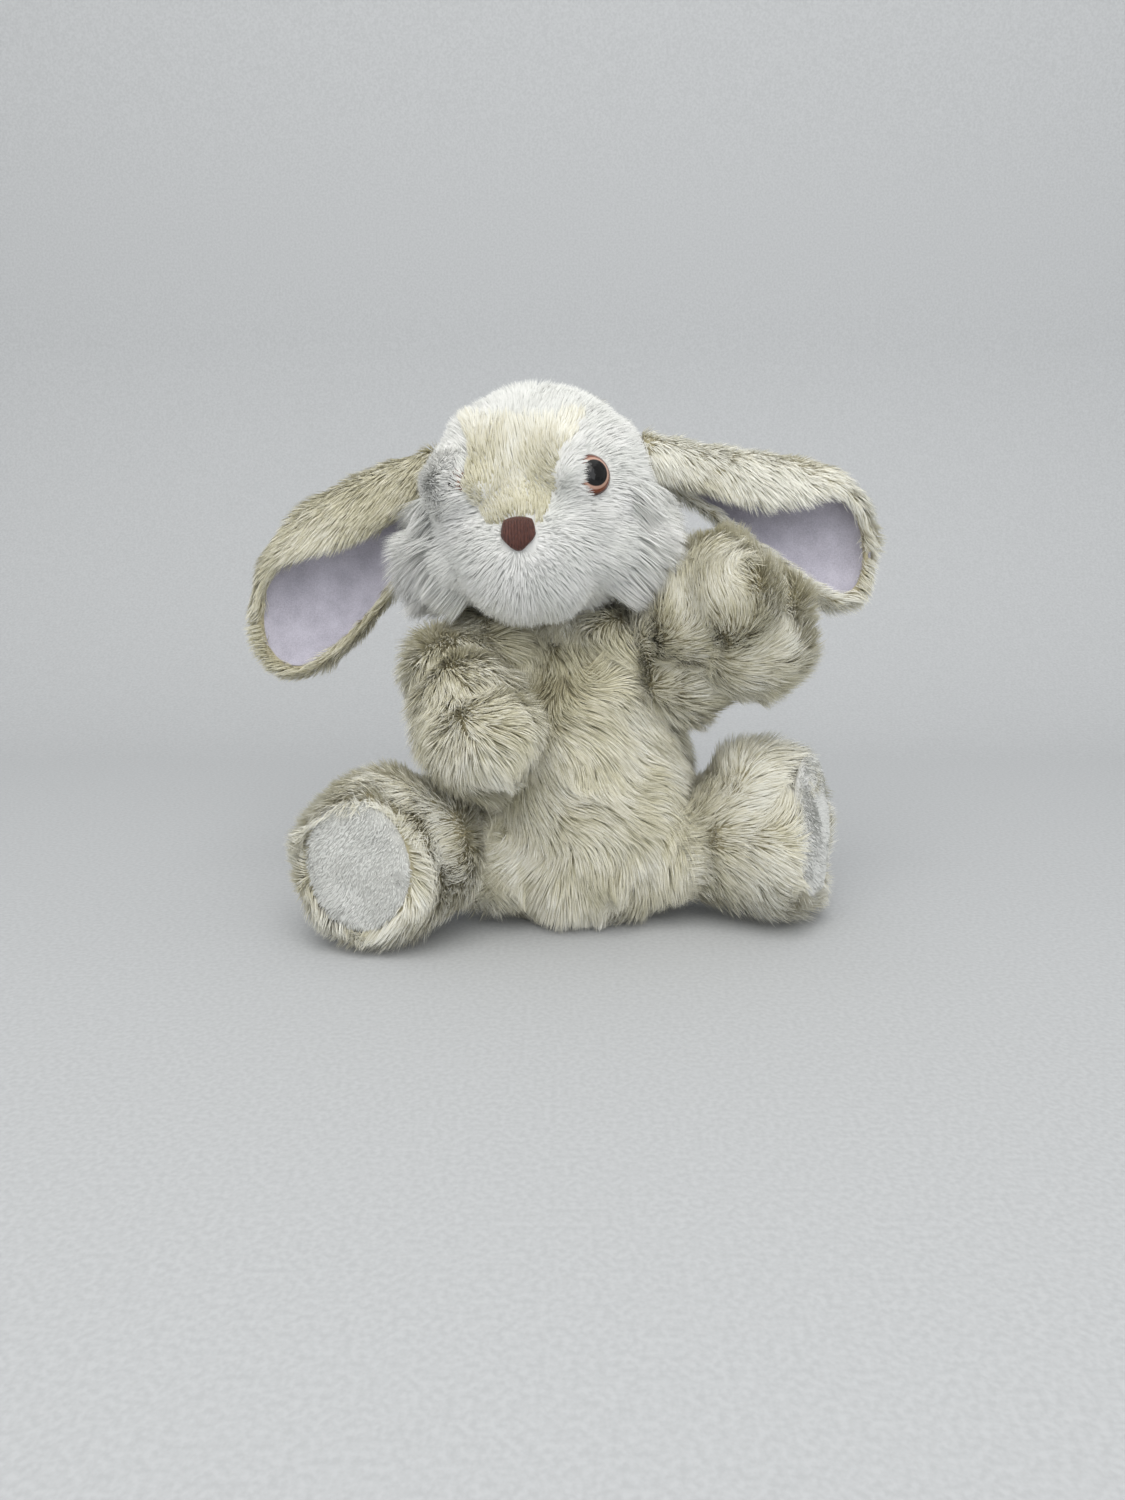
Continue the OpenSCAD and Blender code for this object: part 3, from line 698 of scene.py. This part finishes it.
def buildNose():
    """nose"""
    bm = bmesh.new()
    bmesh.ops.create_grid(bm, x_segments=60, y_segments=36, size=1)
    halfWidth, halfHeight = nosePlan["width"] / 2, nosePlan["height"] / 2
    for v in bm.verts:
        x, y = v.co.x, v.co.y
        # a shield: full at the top, drawn to a rounded point below
        across = halfWidth * (0.98 if y > 0 else 1) * (1 - 0.55 * max(0, -y) ** 1.7) * math.sqrt(max(0, 1 - 0.32 * y * y))
        px = x * across
        pz = y * halfHeight * math.sqrt(1 - 0.34 * x * x)
        ridge = abs(math.sin(math.pi * px / nosePlan["stitch"]))
        edge = max(0.0, 1 - max(abs(x), abs(y)) ** 6)
        out = 25.3 + nosePlan["rise"] * (0.25 + 0.75 * edge) + 0.4 * ridge * edge
        dx, dz = px, pz + 4
        dy = -math.sqrt(max(0, 25.0 ** 2 - dx * dx - dz * dz))
        spot = Vector((dx, dy, dz)).normalized() * (out + 0.6)
        v.co = headMiddle + headTurn @ (Vector((0, -27, -13)) + spot) * mm
    bmesh.ops.recalc_face_normals(bm, faces=bm.faces[:])
    bmesh.ops.solidify(bm, geom=bm.faces[:], thickness=1.2 * mm)
    bmesh.ops.recalc_face_normals(bm, faces=bm.faces[:])
    nose = newObject("noseStitches", bm, [materials["noseFloss"]], smooth=True)
    finish(nose, "head", ["nose_embroidery"])


# ---- ears ----

# Each ear is a shell that opens forwards: its upper edge rolls over the front, its lower edge
# curls up a little. A row holds, in millimetres and degrees: how far out from the seam, the middle
# and half height of the section, its half depth, how far it rolls over the top and under the bottom.
earPlan = {
    "skin": 2.4, "lining": 0.8, "liningDepth": 3.0, "liningShare": 0.93, "fold": 0.9, "steps": (54, 44),
    # both ears are the same beige plush; tone is painted light: the left ear's pile is lightened where the light from
    # above falls on it, the right ear's is darkened as painted shade
    "left": {"length": 87, "tip": 20, "back": 3, "tone": 1.4, "cut": (66, 94), "rows": (
        (0, -6, 9, 7, 205, 60), (20, -12, 11, 8, 200, 75), (40, -20, 15, 10, 180, 100),
        (60, -30, 23, 11, 150, 112), (76, -36, 25, 11, 128, 112), (87, -41, 25, 9, 108, 100))},
    "right": {"length": 72, "tip": 24, "back": -2, "tone": -0.5, "cut": (82, 88), "rows": (
        (0, -10, 13, 7, 185, 95), (14, -22, 21, 8, 172, 100), (26, -33, 27, 10, 163, 104),
        (38, -42, 30, 11, 158, 106), (50, -49, 31, 11, 150, 106), (62, -55, 30, 10, 140, 104),
        (72, -60, 29, 8, 125, 100))},
    "fur": {"perMm2": 3.1, "length": 6.5, "lift": 0.36, "clump": 3.0, "gather": 0.24, "width": 0.44, "swirl": 0.3,
            "floor": False},
}


# The section of an ear at a reach from its seam: middle, half height, half depth, roll over and under.
def earSection(side, reach):
    plan = earPlan[side]
    rows = np.array(plan["rows"], float).T
    middle, half, deep, over, under = (np.polyval(np.polyfit(rows[0], r, 3), reach) for r in rows[1:])
    beyond = np.clip((reach - plan["length"] + plan["tip"]) / plan["tip"], 0, 0.9999)
    rounded = np.sqrt(1 - beyond ** 2)
    return middle, half * rounded, deep * rounded, over, under


# A point of an ear: along from 0 at the seam to 1 at the tip, across from -1 to 1, depth inside its back.
def earSpot(side, along, across, depth):
    reach = earPlan[side]["length"] * math.sin(along * math.pi / 2)
    middle, half, deep, over, under = earSection(side, reach)
    angle = math.radians(-under + (across + 1) / 2 * (over + under))
    inset = min(depth, 0.6 * half, 0.6 * deep)
    fold = earPlan["fold"] * math.sin(along * 9 + across * 3) * math.sin(math.pi * along) * (1 - across * across)
    out = 1 if side == "left" else -1
    return earSeams[side] + Vector((out * reach, earPlan[side]["back"] + (deep - inset) * math.cos(angle) + fold,
                                    middle + (half - inset) * math.sin(angle))) * mm


def earSheet(name, side, low, depth, thick, width, mats):
    bm = bmesh.new()
    bmesh.ops.create_grid(bm, x_segments=earPlan["steps"][0], y_segments=earPlan["steps"][1], size=1)
    for v in bm.verts:
        v.co = earSpot(side, low + (0.985 - low) * (v.co.x + 1) / 2, v.co.y * width, depth)
    bmesh.ops.remove_doubles(bm, verts=bm.verts[:], dist=0.05 * mm)
    bmesh.ops.recalc_face_normals(bm, faces=bm.faces[:])
    area = sum(f.calc_area() for f in bm.faces)
    bmesh.ops.solidify(bm, geom=bm.faces[:], thickness=thick * mm)
    bmesh.ops.recalc_face_normals(bm, faces=bm.faces[:])
    return newObject(name, bm, mats, smooth=True), area


def buildEar(side):
    back, area = earSheet(side + "EarSkin", side, 0.0, 0.0, earPlan["skin"], 1.0, [materials["beigeBacking"]])
    finish(back, side + "_ear", [side + "_ear_back"])
    lining, area = earSheet(side + "EarLining", side, 0.02, earPlan["liningDepth"], earPlan["lining"],
                            earPlan["liningShare"], [materials["earSatin"]])
    finish(lining, side + "_ear", [side + "_ear_lining"])
    print(side, "ear lining", round(area * 1e6), "square mm")
    seam = np.array(earSeams[side])
    out = 1 if side == "left" else -1

    # the way round the section from a point, and the way straight out of it
    def around(p):
        q = (p - seam) / mm
        middle, half, deep, over, under = earSection(side, np.clip(out * q[:, 0], 0, earPlan[side]["length"]))
        back, high = (q[:, 1] - earPlan[side]["back"]) / np.maximum(deep, 1), (q[:, 2] - middle) / np.maximum(half, 1)
        angle = np.degrees(np.arctan2(high, back))
        angle = np.where(angle < -under - 25, angle + 360, angle)
        flat = np.zeros(len(q))
        outward = unitRows(np.stack([flat, back / np.maximum(deep, 1), high / np.maximum(half, 1)], 1))
        edge = unitRows(np.stack([flat, -np.maximum(deep, 1) * high, np.maximum(half, 1) * back], 1))
        return angle, outward, edge

    def where(p, n):
        angle, outward, edge = around(p)
        return 1.0 * ((outward * n).sum(1) > -0.3)

    def comb(p, n):
        angle, outward, edge = around(p)
        return np.array([out * 1.0, 0, -0.45 if side == "left" else -0.75]) + edge * np.clip(angle / 130, -0.8, 0.8)[:, None]

    # painted light: the ear's tone lightens the left ear's pile and darkens the right ear's as shade
    fur = dict(earPlan["fur"], where=where, comb=comb, tone=lambda p, n: earPlan[side]["tone"])
    finish(growPile(side + "EarFur", back, "beigePile", fur, 51 if side == "left" else 57), side + "_ear")


# ---- arms, legs and tail ----

limbPlan = {
    "arm": {"perMm2": 3.3, "length": 9.5, "lift": 0.45, "clump": 3.5, "gather": 0.32, "width": 0.46, "swirl": 0.5,
            "droop": 0.04},
    "leg": {"perMm2": 3.1, "length": 9, "lift": 0.45, "clump": 3.5, "gather": 0.3, "width": 0.46, "swirl": 0.5,
            "droop": 0.03},
    "tail": {"perMm2": 2.4, "length": 11, "lift": 0.8, "clump": 4.0, "gather": 0.4, "width": 0.6, "swirl": 0.3},
    "sole": {"perMm2": 4.0, "length": 1.7, "lift": 0.6, "clump": 1.4, "gather": 0.15, "width": 0.42, "swirl": 0.8,
             "short": True},
}


# Balls that fill out the arms: middle and radii of each.
armBalls = {
    "left": [(shoulders["left"].lerp(elbow, 0.2) + Vector((0, -3, 6)) * mm, (16, 16, 16)),
             (shoulders["left"].lerp(elbow, 0.3) + Vector((0, -3, -7)) * mm, (17, 16, 16)),
             (shoulders["left"].lerp(elbow, 0.55) + Vector((0, -3, 3)) * mm, (17, 17, 17)),
             (elbow + Vector((-1, -2, 1)) * mm, (17, 16, 17)),
             (neck + Vector((66, -24, 7)) * mm, (17, 14, 19)),
             (neck + Vector((53, -22, 12)) * mm, (15, 13, 15)),
             (neck + Vector((79, -20, 8)) * mm, (12, 12, 12)),
             (neck + Vector((60, -24, 22)) * mm, (12, 11, 12)),
             (neck + Vector((66, -27, -5)) * mm, (17, 14, 14)),
             (neck + Vector((50, -26, 2)) * mm, (14, 13, 14)),
             (paws["left"] + Vector((0, 0, -6)) * mm, (15, 15, 15))],
    "right": [(shoulders["right"].lerp(paws["right"], 0.2) + Vector((0, 0, 3)) * mm, (16, 17, 16)),
              (shoulders["right"].lerp(paws["right"], 0.5) + Vector((1, 0, 3)) * mm, (17, 17, 17)),
              (paws["right"] + Vector((1, 5, 9)) * mm, (15, 14, 14))],
}


def buildArm(side):
    skin = makeSkin(side + "ArmSkin", [side + "_arm_cover", side + "_arm_stuffing"], armBalls[side], "beigeBacking")
    finish(skin, side + "_arm", [side + "_arm_cover"])
    way = (paws[side] - shoulders[side]).normalized()
    if side == "left":
        upper, lower = (elbow - shoulders[side]).normalized(), (paws[side] - elbow).normalized()

        def comb(p, n):
            share = np.clip((p[:, 2] - (elbow.z - 0.010)) / 0.034, 0, 1)[:, None]
            return np.array(upper) * (1 - share) + np.array(lower) * share
    else:
        comb = steady(way.x * 0.5 + 0.25, way.y * 0.5, way.z * 0.5 - 0.8)
    fur = dict(limbPlan["arm"], comb=comb)
    finish(growPile(side + "ArmFur", skin, "beigePile", fur, 61 if side == "left" else 67), side + "_arm")


legTops = {"left": 14, "right": 8}                   # how far the top of each foot is raised, in millimetres
soleSizes = {"left": (21.5, 27, 3.2), "right": (20, 23, 3.2)}


def buildLeg(side):
    face = soleFaces[side]
    sole = soles[side]
    foot = sole - face * 13 * mm
    skin = makeSkin(side + "LegSkin", [side + "_leg_cover", side + "_leg_stuffing"],
                    [(foot + Vector((0, 0, legTops[side])) * mm - face * 7 * mm, (22, 22, 19), face),
                     (hips[side].lerp(foot, 0.6) + Vector((0, 0, 3)) * mm, (23, 23, 24))],
                    "beigeBacking", floorAt=0.6)
    finish(skin, side + "_leg", [side + "_leg_cover"])
    way = np.array((foot - hips[side]).normalized())

    def where(p, n):
        ahead = (p - np.array(sole)) @ np.array(face)
        spread = np.linalg.norm((p - np.array(sole)) - ahead[:, None] * np.array(face), axis=1)
        onSole = (ahead > -4 * mm) & (spread < 20.5 * mm)
        return np.where(onSole, 0.0, 1.0) * np.clip(1.25 + n[:, 2] * 1.0, 0.2, 1)

    def comb(p, n):
        ahead = (p - np.array(sole)) @ np.array(face)
        share = np.clip((ahead + 20 * mm) / (20 * mm), 0, 1)[:, None]
        out = unitRows(p - np.array(foot))
        return way * (1 - share) + share * (np.array(face) * 0.6 + out * 0.5)

    fur = dict(limbPlan["leg"], where=where, comb=comb,
               tone=lambda p, n: 0.9 * np.clip(((p - np.array(foot)) @ np.array(face) / mm + 18) / 14, 0, 1))
    finish(growPile(side + "LegFur", skin, "beigePile", fur, 71 if side == "left" else 77), side + "_leg")

    # sole: a low oval dome, taller than wide
    bm = bmesh.new()
    bmesh.ops.create_icosphere(bm, subdivisions=5, radius=1)
    turn = face.to_track_quat("Z", "Y").to_matrix()
    for v in bm.verts:
        v.co.z = math.copysign(abs(v.co.z) ** 0.8, v.co.z)
        spot = Vector(a * b for a, b in zip(v.co, soleSizes[side]))
        v.co = turn @ spot * mm + sole + (Vector((0, 0, soleSizes[side][1] - 22)) - face * 0.6) * mm
    pad = newObject(side + "Sole", bm, [materials["solePlush"]], smooth=True)
    finish(pad, side + "_leg", [side + "_sole_pad"])
    nap = dict(limbPlan["sole"], where=lambda p, n: 1.0 * (n @ np.array(face) > 0.15),
               comb=steady(0, 0, -1), tone=lambda p, n: -1.3 if side == "right" else -0.4)
    finish(growPile(side + "SoleNap", pad, "whitePile", nap, 81), side + "_leg")


def buildTail():
    skin = makeSkin("tailSkin", ["tail_cover", "tail_stuffing"], [], "whiteBacking")
    finish(skin, "torso", ["tail_cover"])
    fur = dict(limbPlan["tail"], comb=away(middle("tail_cover"), 0, 0.4, -0.4))
    finish(growPile("tailFur", skin, "creamPile", fur, 91), "torso")


def dressFrame():
    """inner"""
    finishes = {"stuffing": "polyesterFill", "pouch": "pouchCotton", "washer": "washerNylon",
                "mouth": "paleThread", "left_eye": "leftEyeAcrylic", "right_eye": "rightEyeAcrylic"}
    for name, solid in frame["nodes"].items():
        kind = next((v for k, v in finishes.items() if k in name and not ("eye" in k and "washer" in name)), None)
        if kind:
            for slot in solid.material_slots:
                slot.material = materials[kind]


makePile()
makeBacking()
makeCloths()
makeEyes()
setUpStage()
dressFrame()
print("materials ready")
buildTorso()
buildTail()
buildNeck()
buildHead()
for side in ("left", "right"):
    buildEar(side)
    buildArm(side)
    buildLeg(side)
print("pieces built")

scene.view_settings.view_transform = "Standard"
